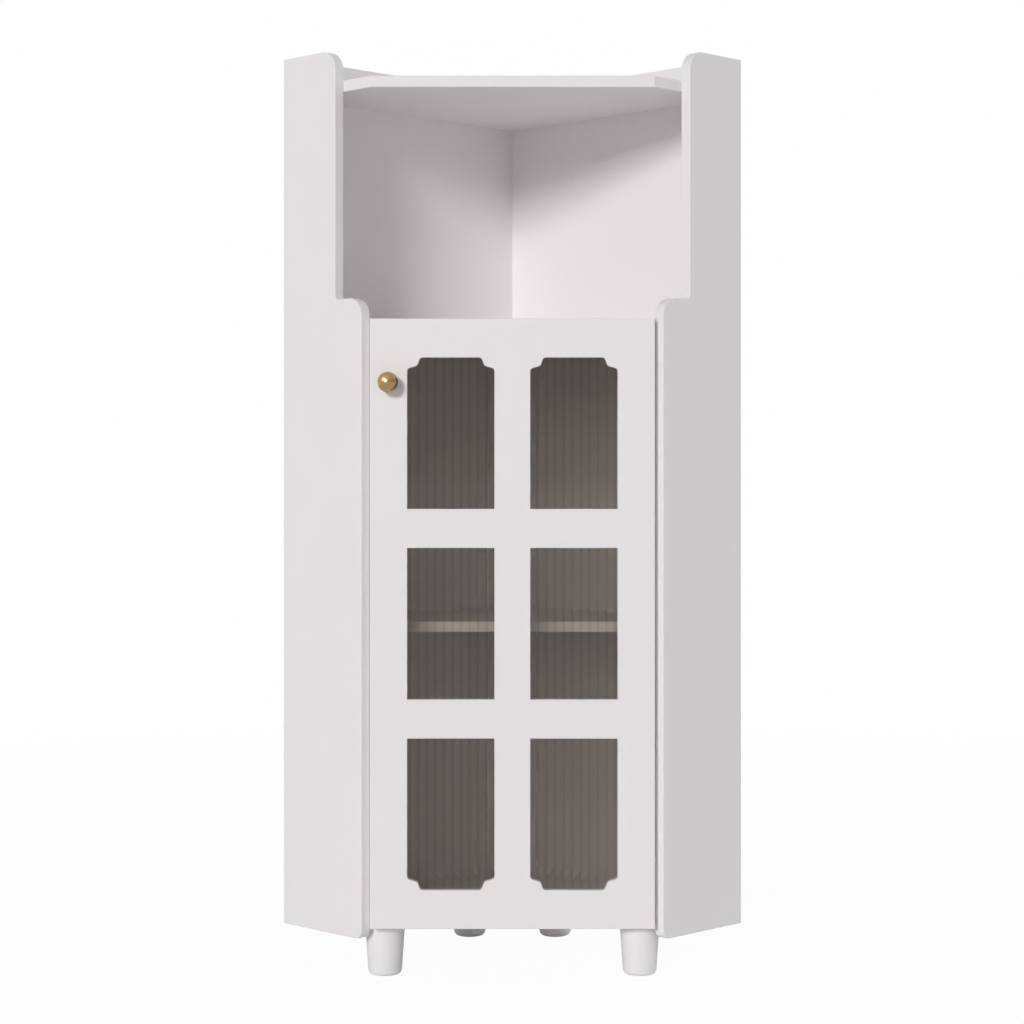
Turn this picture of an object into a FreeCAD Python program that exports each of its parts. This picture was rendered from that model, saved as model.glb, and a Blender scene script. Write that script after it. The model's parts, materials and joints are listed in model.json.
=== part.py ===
"""Corner cabinet with a glass door: an open compartment above a six-light door on four turned legs.

The plan is a pentagon that fits a room's corner. Two side panels flare back at 45 degrees from the door,
and two back panels meet at a right angle behind. Lengths are in millimetres, +X is to the right seen from
the front, +Y to the back, +Z up. The origin is on the floor, under the middle of the cabinet's box.
"""

import FreeCAD
import Part
import Sketcher
import math
import os
import re

Vector = FreeCAD.Vector
Rotation = FreeCAD.Rotation
X_AXIS = Vector(1, 0, 0)
Y_AXIS = Vector(0, 1, 0)
Z_AXIS = Vector(0, 0, 1)
UPRIGHT = Rotation()

SIZES = (
    ("board", 15, "thickness of the panels, the fixed boards and the door"),
    ("front_width", 366, "clear width between the side panels at the front"),
    ("side_width", 156, "width of a side panel below its notch"),
    ("notch_width", 52, "how far the upper part of a side panel is cut back"),
    ("notch_rise", 27.5, "height of the notch above the door's top edge"),
    ("overall_height", 1200, "floor to the top of the panels"),
    ("skirt", 15, "how far the panels reach below the bottom board"),
    ("top_corner", 25, "radius of a side panel's top front corner"),
    ("shoulder_corner", 24, "radius of the corner below the notch"),
    ("notch_corner", 6, "radius inside the notch"),
    ("bottom_corner", 12, "radius of a side panel's bottom front corner"),
    ("edge_round", 1.5, "rounding along the painted edges of panels and boards"),
    ("top_drop", 38, "how far the panels rise above the top board"),
    ("board_setback", 4.2, "door's back face to the front edge of the boards behind it"),
    ("shelf_board", 13, "thickness of the loose shelf"),
    ("shelf_rise", 375, "top of the bottom board to the top of the shelf"),
    ("shelf_setback", 30, "front edge of the fixed boards to the shelf's front edge"),
    ("shelf_play", 1, "gap between the shelf and the panels round it"),
    ("pin_size", 5, "diameter of a shelf pin"),
    ("pin_hold", 9, "depth of a shelf pin in its panel"),
    ("pin_reach", 10, "length of a shelf pin under the shelf"),
    ("pin_margin", 85, "shelf pin to the front corner of a side panel, and to the back corner"),
    ("leg_height", 67, "floor to the underside of the bottom board"),
    ("leg_top", 52, "diameter of a leg at its top"),
    ("leg_foot", 43, "diameter of a leg at the floor, before its rounding"),
    ("leg_round", 7, "rounding of a leg's bottom edge"),
    ("leg_margin_front", 1, "board's front edge to a front leg"),
    ("leg_margin_side", 8.5, "side panel's face to a front leg"),
    ("leg_margin_back", 2.3, "back panel's face to a rear leg"),
    ("rear_leg_spacing", 120, "between the axes of the rear legs"),
    ("stud_size", 8, "diameter of a leg's hanger bolt"),
    ("stud_hold", 28, "depth of the hanger bolt in a leg"),
    ("nut_size", 12, "outer diameter of the insert nut in the bottom board"),
    ("nut_length", 12, "length of the insert nut"),
    ("door_gap", 0.4, "gap at each side of the door"),
    ("door_drop", 0.5, "how far the door hangs below the bottom board"),
    ("door_cover", 2.5, "how far the door stands above the middle board"),
    ("rail", 50, "height of each of the door's four rails"),
    ("mullion", 46, "width of the door's middle bar"),
    ("stile", 47.8, "width of the door's two stiles"),
    ("door_round", 1.2, "rounding along the door's outer edges"),
    ("window_height", 194, "height of each light"),
    ("scallop_width", 16.8, "width of the scalloped corners of the outer lights"),
    ("scallop_height", 14.4, "height of those corners"),
    ("scallop_lean", 3.8, "how far the two legs of a scallop lean towards the light's corner"),
    ("scallop_round", 4.5, "rounding between the two legs"),
    ("horn_round", 4.5, "rounding where a scallop meets a straight edge"),
    ("window_ease", 0.5, "chamfer of the lights' front edges"),
    ("glass_overlap", 6.5, "how far the glass lies behind the frame round the lights"),
    ("glass_thickness", 4, "glass with its ribs"),
    ("glass_seat", 0.1, "gap in front of the glass and behind it"),
    ("glass_play", 0.3, "gap round the edges of the glass"),
    ("rib_pitch", 11, "width of one rib of the fluted glass"),
    ("rib_depth", 0.9, "height of one rib"),
    ("clip_length", 22, "glass clip along the edge that it holds"),
    ("clip_width", 15, "glass clip across that edge"),
    ("clip_thickness", 1.5, "thickness of a glass clip"),
    ("clip_bite", 5, "how far a clip reaches over the glass"),
    ("clip_spread", 200, "between the clips along a side"),
    ("knob_size", 26, "diameter of the knob's ball"),
    ("knob_length", 30, "door's front face to the front of the knob"),
    ("knob_neck", 9, "diameter of the knob's neck"),
    ("knob_foot", 15, "diameter of the knob's foot"),
    ("knob_foot_height", 2.5, "height of the knob's foot"),
    ("knob_drop", 82.3, "door's top edge to the knob's axis"),
    ("knob_thread", 4, "diameter of the knob's screw"),
    ("knob_thread_hold", 12, "depth of that screw in the knob"),
    ("cup_size", 35, "diameter of a hinge cup"),
    ("cup_depth", 12.5, "depth of a hinge cup in the door"),
    ("cup_wall", 1, "thickness of a hinge cup and of its flange"),
    ("cup_rim", 2, "width of the flange round the cup"),
    ("cup_inset", 21.5, "door's edge to the axis of a hinge cup"),
    ("cup_screws", 48, "between the two screws of a hinge cup"),
    ("flange_width", 18, "width of the flange's two lobes"),
    ("flange_margin", 5.25, "cup screw to the end of its lobe"),
    ("hinge_end", 100, "hinge to the nearer end of the door"),
    ("hinge_pin", 3, "diameter of a hinge pin"),
    ("pin_inset", 9, "door's edge to the axis of the hinge pin"),
    ("eye_size", 6, "diameter of the arm's eye round the pin"),
    ("arm_thickness", 4, "thickness of a hinge arm"),
    ("arm_width", 8, "width of a hinge arm inside the cup"),
    ("arm_reach", 13, "pin to the arm's first bend"),
    ("arm_rise", 12, "first bend to the second bend"),
    ("arm_length", 52, "second bend to the end of the arm"),
    ("arm_tail", 36, "length of the arm's wide end"),
    ("tail_width", 14, "width of the arm's wide end"),
    ("plate_length", 38, "hinge plate along the side panel"),
    ("plate_height", 50, "height of a hinge plate"),
    ("plate_thickness", 2.5, "thickness of a hinge plate's wings"),
    ("plate_margin", 5, "side panel's front edge to the hinge plate"),
    ("plate_screws", 34, "between the two screws of a hinge plate"),
    ("screw_size", 3.5, "diameter of the small wood screws"),
    ("screw_length", 10, "length of their shanks"),
    ("screw_head", 7, "diameter of their heads"),
    ("screw_head_height", 2, "height of their heads"),
    ("catch_length", 46, "magnet catch with its ears"),
    ("catch_block", 30, "length of the magnet catch's block"),
    ("catch_depth", 15, "magnet catch from front to back"),
    ("catch_height", 12, "height of the magnet catch"),
    ("catch_ear", 2, "thickness of the catch's ears"),
    ("catch_inset", 60, "side panel's front corner to the middle of the catch"),
    ("magnet_length", 24, "length of the magnet"),
    ("magnet_depth", 8, "magnet from front to back"),
    ("magnet_height", 6, "height of the magnet"),
    ("strike_thickness", 2, "thickness of the strike plate on the door"),
    ("bumper_size", 8, "diameter of a door bumper"),
    ("bumper_inset", 20, "side panel's front corner to a bumper"),
    ("cam_size", 15, "diameter of a cam lock"),
    ("cam_depth", 12, "depth of a cam lock in its board"),
    ("cam_inset", 24, "edge of a board to the axis of its cam lock"),
    ("bolt_size", 6, "diameter of a cam bolt"),
    ("bolt_hold", 10, "depth of a cam bolt in its panel"),
    ("dowel_size", 8, "diameter of a wood dowel"),
    ("dowel_hold", 10, "depth of a dowel in its panel"),
    ("dowel_reach", 20, "depth of a dowel in its board"),
    ("side_margin", 45, "fastener to the end of a board's side edge"),
    ("notch_margin", 25, "the same on the top board, whose side edges start at the notch"),
    ("back_margin", 70, "fastener to the end of a board's back edge"),
    ("seam_margin_low", 133, "bottom board's underside to the lowest fastener of a back seam"),
    ("seam_margin_high", 200, "top of the panels to the highest one"),
    ("seam_screw", 6, "diameter of the screws where the back panels meet"),
    ("seam_screw_reach", 35, "depth of those screws in the left back panel"),
    ("fit", 0.1, "clearance round fasteners, pins and cups in their holes"),
    ("running", 0.05, "clearance between a hinge pin and the arm's eye"),
    ("close_gap", 0.3, "gap between the closed door and what it closes against"),
)

LINES = (
    ("bevel", "board / sqrt(2)"),
    ("half_front", "front_width / 2"),
    ("run_out", "side_width / sqrt(2)"),
    ("reach", "board - bevel + knob_length"),
    ("front", "(reach - half_front - bevel - 2 * run_out) / 2"),
    ("door_back", "front + bevel"),
    ("door_front", "door_back - board"),
    ("side_inner", "side_width - board"),
    ("corner_x", "half_front + side_inner / sqrt(2)"),
    ("corner_y", "door_back + side_inner / sqrt(2)"),
    ("back_inner", "corner_x * sqrt(2)"),
    ("apex", "corner_y + corner_x"),
    ("panel_bottom", "leg_height - skirt"),
    ("panel_height", "overall_height - panel_bottom"),
    ("door_width", "front_width - 2 * door_gap"),
    ("door_height", "4 * rail + 3 * window_height"),
    ("door_bottom", "leg_height - door_drop"),
    ("door_top", "door_bottom + door_height"),
    ("window_width", "(door_width - mullion) / 2 - stile"),
    ("notch_level", "door_top + notch_rise"),
    ("board_front", "door_back + board_setback"),
    ("top_middle", "overall_height - top_drop - board / 2"),
    ("middle_middle", "door_top - door_cover - board / 2"),
    ("bottom_middle", "leg_height + board / 2"),
    ("shelf_bottom", "leg_height + board + shelf_rise - shelf_board"),
    ("shelf_front", "board_front + shelf_setback"),
    ("front_leg_y", "board_front + leg_margin_front + leg_top / 2"),
    ("front_leg_x", "half_front + front_leg_y - door_back - (leg_margin_side + leg_top / 2) * sqrt(2)"),
    ("rear_leg_x", "rear_leg_spacing / 2"),
    ("rear_leg_y", "apex - rear_leg_x - (leg_margin_back + leg_top / 2) * sqrt(2)"),
    ("rebate_depth", "glass_thickness + 2 * glass_seat"),
    ("glass_half", "mullion / 2 + window_width + glass_overlap"),
    ("glass_foot", "rail - glass_overlap"),
    ("rib_radius", "rib_pitch * rib_pitch / (8 * rib_depth) + rib_depth / 2"),
    ("cup_x", "door_width / 2 - cup_inset"),
    ("pin_x", "door_width / 2 - pin_inset"),
    ("pin_y", "door_back - board / 2"),
    ("pin_side", "cup_inset - pin_inset + hinge_pin / 2"),
    ("pin_length", "2 * sqrt(cup_size * cup_size / 4 - pin_side * pin_side) - 2 * fit"),
    ("arm_stand", "(door_gap + pin_inset + arm_reach + arm_rise - board / 2) / sqrt(2) - arm_thickness / 2"),
    ("arm_start", "(arm_rise - door_gap - pin_inset - arm_reach - board / 2) / sqrt(2)"),
    ("knob_x", "(stile - door_width) / 2"),
    ("catch_x", "catch_inset - half_front"),
    ("catch_front", "door_back + strike_thickness + close_gap"),
    ("seam_low", "leg_height + seam_margin_low"),
    ("seam_high", "overall_height - seam_margin_high"),
    ("seam_middle", "(seam_low + seam_high) / 2"),
    ("cut_over", "board"),
)

doc = FreeCAD.newDocument("CornerCabinet")
sheet = doc.addObject("Spreadsheet::Sheet", "Sizes")
nodes = {}


def fill_sheet():
    """Write the driving sizes as numbers and the lines that follow from them as formulas."""
    rows = [(name, str(number), note) for name, number, note in SIZES]
    rows += [(name, "=" + formula, "worked out") for name, formula in LINES]
    for row, (name, content, note) in enumerate(rows, 1):
        sheet.set(f"A{row}", name)
        sheet.set(f"B{row}", content)
        sheet.set(f"C{row}", note)
        sheet.setAlias(f"B{row}", name)
    doc.recompute()


fill_sheet()
NAMES = {row[0] for row in SIZES + LINES}


def bound(formula):
    """A formula with every size in it read from the sheet."""
    return re.sub(r"[a-z_]+", lambda word: "Sizes." + word[0] if word[0] in NAMES else word[0], formula)


def value(formula):
    return float(sheet.evalExpression(bound(formula)))


def bind(item, **properties):
    for name, formula in properties.items():
        item.setExpression(name, bound(formula))


def place(item, x, y, z, turn=UPRIGHT):
    """Turn an object and tie its position to the sheet."""
    item.Placement = FreeCAD.Placement(Vector(value(x), value(y), value(z)), turn)
    for axis, formula in zip("xyz", (x, y, z)):
        item.setExpression(f"Placement.Base.{axis}", bound(formula))
    return item


def node(name, item):
    """Keep an object as a sub-part of the cabinet, under its own name."""
    item.Label = name
    nodes[name] = item
    return item


# Sketches and features


def new_body(name):
    return doc.addObject("PartDesign::Body", name)


def new_sketch(body, plane, name):
    sketch = body.newObject("Sketcher::SketchObject", name)
    base = next(item for item in body.Origin.OriginFeatures if item.Role == plane)
    sketch.AttachmentSupport = (base, "")
    sketch.MapMode = "FlatFace"
    return sketch


def arc_middle(start, end, radius, bulge):
    """The middle of an arc that bulges in, to the left of the way from start to end, or out."""
    chord = end - start
    half = chord.Length / 2
    rise = radius - math.sqrt(max(radius * radius - half * half, 0))
    side = 1 if bulge == "in" else -1
    return (start + end) / 2 + Vector(-chord.y, chord.x, 0).normalize() * rise * side


def outline(body, plane, name, *loops):
    """Closed outlines whose corners are tied to the sheet.

    A corner is (x, y), or (x, y, radius, "in" or "out") where an arc leads on to the next corner.
    """
    sketch = new_sketch(body, plane, name)
    constraints = []
    formulas = []
    for loop in loops:
        points = [Vector(value(corner[0]), value(corner[1]), 0) for corner in loop]
        first = sketch.GeometryCount
        starts = []
        for number, corner in enumerate(loop):
            start = points[number]
            end = points[(number + 1) % len(loop)]
            if len(corner) == 4:
                middle = arc_middle(start, end, value(corner[2]), corner[3])
                edge = Part.Arc(start, middle, end)
            else:
                edge = Part.LineSegment(start, end)
            index = sketch.addGeometry(edge, False)
            starts.append(1 if (sketch.getPoint(index, 1) - start).Length < 1e-6 else 2)
        for number, corner in enumerate(loop):
            index = first + number
            following = (number + 1) % len(loop)
            ends = (index, 3 - starts[number], first + following, starts[following])
            constraints.append(Sketcher.Constraint("Coincident", *ends))
            formulas.append(None)
            for kind, place_of, formula in zip(("DistanceX", "DistanceY"), points[number], corner):
                constraints.append(Sketcher.Constraint(kind, -1, 1, index, starts[number], place_of))
                formulas.append(formula)
            if len(corner) == 4:
                constraints.append(Sketcher.Constraint("Radius", index, value(corner[2])))
                formulas.append(corner[2])
    sketch.addConstraint(constraints)
    for number, formula in enumerate(formulas):
        if formula is not None:
            sketch.setExpression(f"Constraints[{number}]", bound(formula))
    return sketch


def circles(body, plane, name, diameter, centres):
    """Circles of one diameter, with their centres tied to the sheet."""
    sketch = new_sketch(body, plane, name)
    for x, y in centres:
        centre = Vector(value(x), value(y), 0)
        index = sketch.addGeometry(Part.Circle(centre, Z_AXIS, value(diameter) / 2), False)
        constraints = [Sketcher.Constraint("DistanceX", -1, 1, index, 3, centre.x)]
        constraints.append(Sketcher.Constraint("DistanceY", -1, 1, index, 3, centre.y))
        constraints.append(Sketcher.Constraint("Diameter", index, value(diameter)))
        for number, formula in zip(sketch.addConstraint(constraints), (x, y, diameter)):
            sketch.setExpression(f"Constraints[{number}]", bound(formula))
    return sketch


def feature(body, kind, sketch, **properties):
    item = body.newObject("PartDesign::" + kind, f"{sketch.Name}_{kind.lower()}")
    item.Profile = sketch
    for name, setting in properties.items():
        setattr(item, name, setting)
    return item


def pad(body, sketch, length, back=False):
    item = feature(body, "Pad", sketch, Reversed=back)
    bind(item, Length=length)
    return item


def pocket(body, sketch, depth, back=False):
    """Cut a sketch into a body, and make sure that the cut meets it."""
    doc.recompute()
    before = body.Shape.Volume
    item = feature(body, "Pocket", sketch, Reversed=back)
    bind(item, Length=depth)
    doc.recompute()
    if body.Shape.Volume >= before:
        raise RuntimeError(f"{item.Label} cuts nothing")
    return item


def eased(body, size, wanted, kind="Fillet"):
    """Round or chamfer the edges of a body's last feature that a test on their boxes picks out."""
    doc.recompute()
    base = body.Tip
    names = [f"Edge{number}" for number, edge in enumerate(base.Shape.Edges, 1) if wanted(edge.BoundBox)]
    if not names:
        raise RuntimeError(f"{body.Label} has no edge to ease")
    item = body.newObject("PartDesign::" + kind, f"{body.Name}_{kind.lower()}")
    item.Base = (base, names)
    item.setExpression("Radius" if kind == "Fillet" else "Size", bound(size))
    return item


def turned(name, *corners):
    """A turned piece: a profile of radius and height, revolved about its own upright axis."""
    body = new_body(name)
    sketch = outline(body, "XZ_Plane", name + "_profile", corners)
    item = feature(body, "Revolution", sketch, Angle=360)
    item.ReferenceAxis = (sketch, ["V_Axis"])
    return body


def rod(name, radius, low, high):
    """A plain round rod or drill along its own Z axis."""
    item = doc.addObject("Part::Cylinder", name)
    bind(item, Radius=radius, Height=f"{high} - ({low})")
    item.Placement.Base.z = value(low)
    item.setExpression("Placement.Base.z", bound(low))
    holder = doc.addObject("Part::Compound", name + "_along_axis")
    holder.Links = [item]
    return holder


def near(number, formula, slack=0.01):
    return abs(number - value(formula)) < slack


def flat(low, high):
    return high - low < 0.01


# Copies of one piece, and holes for them


def copy_of(master, x, y, z, turn=UPRIGHT):
    link = doc.addObject("App::Link", master.Name + "_copy")
    link.LinkedObject = master
    return place(link, x, y, z, turn)


def group(name, copies):
    """Separate, identical solids that share one node."""
    item = doc.addObject("Part::Compound", name)
    item.Links = copies
    return node(name, item)


def drilled(name, blank, drills):
    """A blank with holes where the drills stand."""
    item = doc.addObject("Part::Cut", name)
    item.Base = blank
    item.Tool = drills[0]
    if len(drills) > 1:
        item.Tool = doc.addObject("Part::MultiFuse", name + "_drills")
        item.Tool.Shapes = drills
    doc.recompute()
    if item.Shape.Volume >= blank.Shape.Volume:
        raise RuntimeError(f"{name} has no holes")
    return node(name, item)


class PanelFace:
    """A panel's inner face in plan: where it starts, the way it runs and the way into the cabinet."""

    def __init__(self, x, y, run, into):
        self.start = (x, y)
        self.run = run
        self.into = into
        self.turn = Rotation(Z_AXIS, math.degrees(math.atan2(into[1], into[0])))

    def at(self, along, inward="0"):
        formulas = []
        for start, run, into in zip(self.start, self.run, self.into):
            formulas.append(f"{start} + ({run} * ({along}) + {into} * ({inward})) / sqrt(2)")
        return formulas

    def across(self):
        """The turn that points a piece's own Z axis into the cabinet."""
        return self.turn * Rotation(Y_AXIS, 90)


FACES = {
    "left_side": PanelFace("-half_front", "door_back", (-1, 1), (1, 1)),
    "right_side": PanelFace("half_front", "door_back", (1, 1), (-1, 1)),
    "left_back": PanelFace("-corner_x", "corner_y", (1, 1), (1, -1)),
    "right_back": PanelFace("corner_x", "corner_y", (-1, 1), (-1, -1)),
}
SIDES = ("left_side", "right_side")
BACKS = ("left_back", "right_back")
FACE_DOWN = Rotation(X_AXIS, 180)
holes = {name: [] for name in FACES}


# Joinery: cam locks with their bolts, dowels and screws


def make_cam():
    cylinder = rod("cam_cylinder", "cam_size / 2", "board / 2 - cam_depth", "board / 2 - close_gap")
    slot = doc.addObject("Part::Box", "cam_slot")
    bind(slot, Length="cam_size", Width="bolt_size + 2 * fit", Height="bolt_size + 2 * fit")
    place(slot, "fit - cam_size", "-bolt_size / 2 - fit", "-bolt_size / 2 - fit")
    cam = doc.addObject("Part::Cut", "cam")
    cam.Base = cylinder
    cam.Tool = slot
    return cam


CAM = make_cam()
CAM_DRILL = rod("cam_drill", "cam_size / 2 + fit", "board / 2 - cam_depth - fit", "board / 2 + cut_over")
BOLT = rod("cam_bolt", "bolt_size / 2", "-bolt_hold", "cam_inset")
BOLT_DRILL = rod("bolt_drill", "bolt_size / 2 + fit", "-bolt_hold - fit", "cam_inset")
DOWEL = rod("dowel", "dowel_size / 2", "-dowel_hold", "dowel_reach")
DOWEL_DRILL = rod("dowel_drill", "dowel_size / 2 + fit", "-dowel_hold - fit", "dowel_reach + fit")

cams = []
bolts = []
dowels = []


def join_with_cam(face, along, level, cam_turn):
    """A cam lock and its bolt at a panel's face; returns the holes in the piece that is pulled up."""
    x, y = FACES[face].at(along)
    cam_x, cam_y = FACES[face].at(along, "cam_inset")
    across = FACES[face].across()
    turn = FACES[face].turn * cam_turn
    cams.append(copy_of(CAM, cam_x, cam_y, level, turn))
    bolts.append(copy_of(BOLT, x, y, level, across))
    drill = copy_of(BOLT_DRILL, x, y, level, across)
    holes[face].append(drill)
    return [copy_of(CAM_DRILL, cam_x, cam_y, level, turn), drill]


def join_with_dowel(face, along, level):
    """A dowel between a panel's face and the piece that butts against it; returns its hole."""
    x, y = FACES[face].at(along)
    across = FACES[face].across()
    dowels.append(copy_of(DOWEL, x, y, level, across))
    drill = copy_of(DOWEL_DRILL, x, y, level, across)
    holes[face].append(drill)
    return [drill]


def join_board(level, cam_turn, start, margin):
    """The fasteners round one fixed board; returns the holes in the board."""
    drills = []
    for face in SIDES:
        drills += join_with_cam(face, f"{start} + {margin}", level, cam_turn)
        drills += join_with_dowel(face, f"side_inner - {margin}", level)
    for face in BACKS:
        drills += join_with_cam(face, "back_margin", level, cam_turn)
        drills += join_with_dowel(face, "back_inner - back_margin", level)
    return drills


# Boards and panels


def board_blank(name, front, thickness, play="0"):
    """A five-cornered board between the panels."""
    body = new_body(name)
    front_x = f"half_front + {front} - door_back - {play} * sqrt(2)"
    corners = [
        (f"-({front_x})", front),
        (front_x, front),
        (f"corner_x - {play} * sqrt(2)", "corner_y"),
        ("0", f"apex - {play} * sqrt(2)"),
        (f"{play} * sqrt(2) - corner_x", "corner_y"),
    ]
    pad(body, outline(body, "XY_Plane", name + "_plan", corners), thickness)
    return body


def fixed_board(name, front, middle, cam_turn, start="board_setback", margin="side_margin"):
    """A board with its fasteners; start is where its side edges meet the side panels."""
    blank = board_blank(name + "_blank", front, "board")
    place(blank, "0", "0", f"{middle} - board / 2")
    return blank, join_board(middle, cam_turn, start, margin)


def make_fixed_boards():
    """The top board has its cams on top, the other two underneath. The legs' nuts sit in the bottom one."""
    notch = ("notch_width", "notch_margin")
    blank, drills = fixed_board("top_board", "door_back", "top_middle", UPRIGHT, *notch)
    eased(blank, "edge_round", lambda box: flat(box.ZMin, box.ZMax) and box.YMax < value("corner_y") + 1
          and box.YMin < value("corner_y") - 1)
    drilled("top_board", blank, drills)
    drilled("middle_board", *fixed_board("middle_board", "board_front", "middle_middle", FACE_DOWN))
    blank, drills = fixed_board("bottom_board", "board_front", "bottom_middle", FACE_DOWN)
    drills += [copy_of(NUT_DRILL, x, y, "leg_height") for x, y in LEGS.values()]
    drilled("bottom_board", blank, drills)


def make_shelf():
    """The loose shelf and the four pins that carry it."""
    shelf = board_blank("inner_shelf", "shelf_front", "shelf_board", "shelf_play")
    node("inner_shelf", place(shelf, "0", "0", "shelf_bottom"))
    pin = rod("shelf_pin", "pin_size / 2", "-pin_hold", "pin_reach")
    drill = rod("shelf_pin_drill", "pin_size / 2 + fit", "-pin_hold - fit", "cut_over")
    pins = []
    for face, along in (
        ("left_side", "pin_margin"),
        ("right_side", "pin_margin"),
        ("left_back", "back_inner - pin_margin"),
        ("right_back", "back_inner - pin_margin"),
    ):
        x, y = FACES[face].at(along)
        level = "shelf_bottom - pin_size / 2"
        pins.append(copy_of(pin, x, y, level, FACES[face].across()))
        holes[face].append(copy_of(drill, x, y, level, FACES[face].across()))
    group("shelf_pins", pins)


def side_blank(name, side):
    """A side panel: narrow above the notch, wide below it, with its corners and edges rounded."""
    body = new_body(name)
    corners = [
        ("0", "panel_bottom"),
        ("side_width", "panel_bottom"),
        ("side_width", "overall_height"),
        ("notch_width", "overall_height"),
        ("notch_width", "notch_level"),
        ("0", "notch_level"),
    ]
    pad(body, outline(body, "XZ_Plane", name + "_profile", corners), "board", back=side > 0)
    for radius, x, z in (
        ("bottom_corner", "0", "panel_bottom"),
        ("shoulder_corner", "0", "notch_level"),
        ("notch_corner", "notch_width", "notch_level"),
        ("top_corner", "notch_width", "overall_height"),
    ):
        eased(body, radius, lambda box: near(box.XMin, x) and flat(box.XMin, box.XMax)
              and near(box.ZMin, z) and flat(box.ZMin, box.ZMax))
    eased(body, "edge_round", lambda box: flat(box.YMin, box.YMax) and not near(box.XMin, "side_width"))
    turn = Rotation(Z_AXIS, 45 if side > 0 else 135)
    return place(body, f"{side} * (half_front + bevel)", "front", "0", turn)


def back_blank(name, length):
    box = doc.addObject("Part::Box", name)
    bind(box, Length=length, Width="board", Height="panel_height")
    return box


def make_back_blanks():
    """The left back panel ends against the right one, which runs through to the corner."""
    left = back_blank("left_back_blank", "back_inner")
    place(left, "-corner_x", "corner_y", "panel_bottom", Rotation(Z_AXIS, 45))
    right = back_blank("right_back_blank", "back_inner + board")
    place(right, "corner_x + bevel", "corner_y + bevel", "panel_bottom", Rotation(Z_AXIS, 135))
    return left, right


def join_seams():
    """Cam locks between side and back panels, and screws where the back panels meet."""
    drills = {name: [] for name in BACKS}
    for side, back, outward in (("left_side", "left_back", 90), ("right_side", "right_back", -90)):
        cam_turn = Rotation(X_AXIS, outward)
        for level in ("seam_low", "seam_high"):
            drills[back] += join_with_cam(side, "side_width - board / 2", level, cam_turn)
    screw = turned(
        "seam_screw_master",
        ("0", "-board + fit"),
        ("seam_screw", "-board + fit"),
        ("seam_screw / 2", "-board + fit + seam_screw / 2"),
        ("seam_screw / 2", "seam_screw_reach"),
        ("0", "seam_screw_reach + seam_screw / 2"),
    )
    drill = turned(
        "seam_screw_drill",
        ("0", "-board - fit"),
        ("seam_screw + 4 * fit", "-board - fit"),
        ("seam_screw / 2 + fit", "-board + fit + seam_screw / 2"),
        ("seam_screw / 2 + fit", "seam_screw_reach + fit"),
        ("0", "seam_screw_reach + seam_screw / 2 + 2 * fit"),
    )
    face = FACES["right_back"]
    x, y = face.at("back_inner + board / 2")
    screws = []
    for level in ("seam_low", "seam_middle", "seam_high"):
        screws.append(copy_of(screw, x, y, level, face.across()))
        for back in BACKS:
            drills[back].append(copy_of(drill, x, y, level, face.across()))
    group("back_corner_screws", screws)
    return drills


def make_panels():
    """The four panels, drilled for all that the boards, the shelf and the hinges put into them."""
    seams = join_seams()
    left_back, right_back = make_back_blanks()
    drilled("left_side_panel", side_blank("left_side_blank", -1), holes["left_side"])
    drilled("right_side_panel", side_blank("right_side_blank", 1), holes["right_side"])
    drilled("left_back_panel", left_back, holes["left_back"] + seams["left_back"])
    drilled("right_back_panel", right_back, holes["right_back"] + seams["right_back"])


# Legs


LEGS = {
    "leg_front_left": ("-front_leg_x", "front_leg_y"),
    "leg_front_right": ("front_leg_x", "front_leg_y"),
    "leg_rear_left": ("-rear_leg_x", "rear_leg_y"),
    "leg_rear_right": ("rear_leg_x", "rear_leg_y"),
}
NUT_DRILL = rod("nut_drill", "nut_size / 2 + fit", "-cut_over", "nut_length + fit")


def make_legs():
    """Turned legs, each on a hanger bolt that screws into an insert nut in the bottom board."""
    for name, (x, y) in LEGS.items():
        leg = turned(
            name,
            ("0", "0"),
            ("leg_foot / 2", "0"),
            ("leg_top / 2", "leg_height"),
            ("stud_size / 2 + fit", "leg_height"),
            ("stud_size / 2 + fit", "leg_height - stud_hold - fit"),
            ("0", "leg_height - stud_hold - fit"),
        )
        eased(leg, "leg_round", lambda box: near(box.ZMax, "0"))
        node(name, place(leg, x, y, "0"))
    stud = rod("hanger_bolt", "stud_size / 2", "-stud_hold", "nut_length - close_gap")
    nut = turned(
        "insert_nut",
        ("stud_size / 2 + fit", "close_gap"),
        ("nut_size / 2", "close_gap"),
        ("nut_size / 2", "nut_length"),
        ("stud_size / 2 + fit", "nut_length"),
    )
    group("leg_hanger_bolts", [copy_of(stud, x, y, "leg_height") for x, y in LEGS.values()])
    group("leg_insert_nuts", [copy_of(nut, x, y, "leg_height") for x, y in LEGS.values()])


# Small screws, each with its head on the surface and its shank along its own +Z axis


SCREW = turned(
    "wood_screw",
    ("0", "-screw_head_height"),
    ("screw_head / 2", "-screw_head_height / 2"),
    ("screw_head / 2", "0"),
    ("screw_size / 2", "0"),
    ("screw_size / 2", "screw_length - screw_size / 2"),
    ("0", "screw_length"),
)
SCREW_DRILL = rod("screw_drill", "screw_size / 2 + fit", "-cut_over", "screw_length + fit")
TO_FRONT = Rotation(X_AXIS, 90)


# Door


def window_sides(side):
    """The left and right edges of the lights on one side of the mullion."""
    left = "mullion / 2" if side > 0 else "-mullion / 2 - window_width"
    return left, f"{left} + window_width"


def scallop(edge, level, across, up):
    """A cut corner of a light: its foot on the level edge, its inner corner, its foot on the upright edge."""
    inner_x = f"{edge} + {across} * (scallop_width - scallop_lean)"
    inner_z = f"{level} + {up} * (scallop_height - scallop_lean)"
    return [
        (f"{edge} + {across} * scallop_width", level),
        (inner_x, inner_z),
        (edge, f"{level} + {up} * scallop_height"),
    ]


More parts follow.
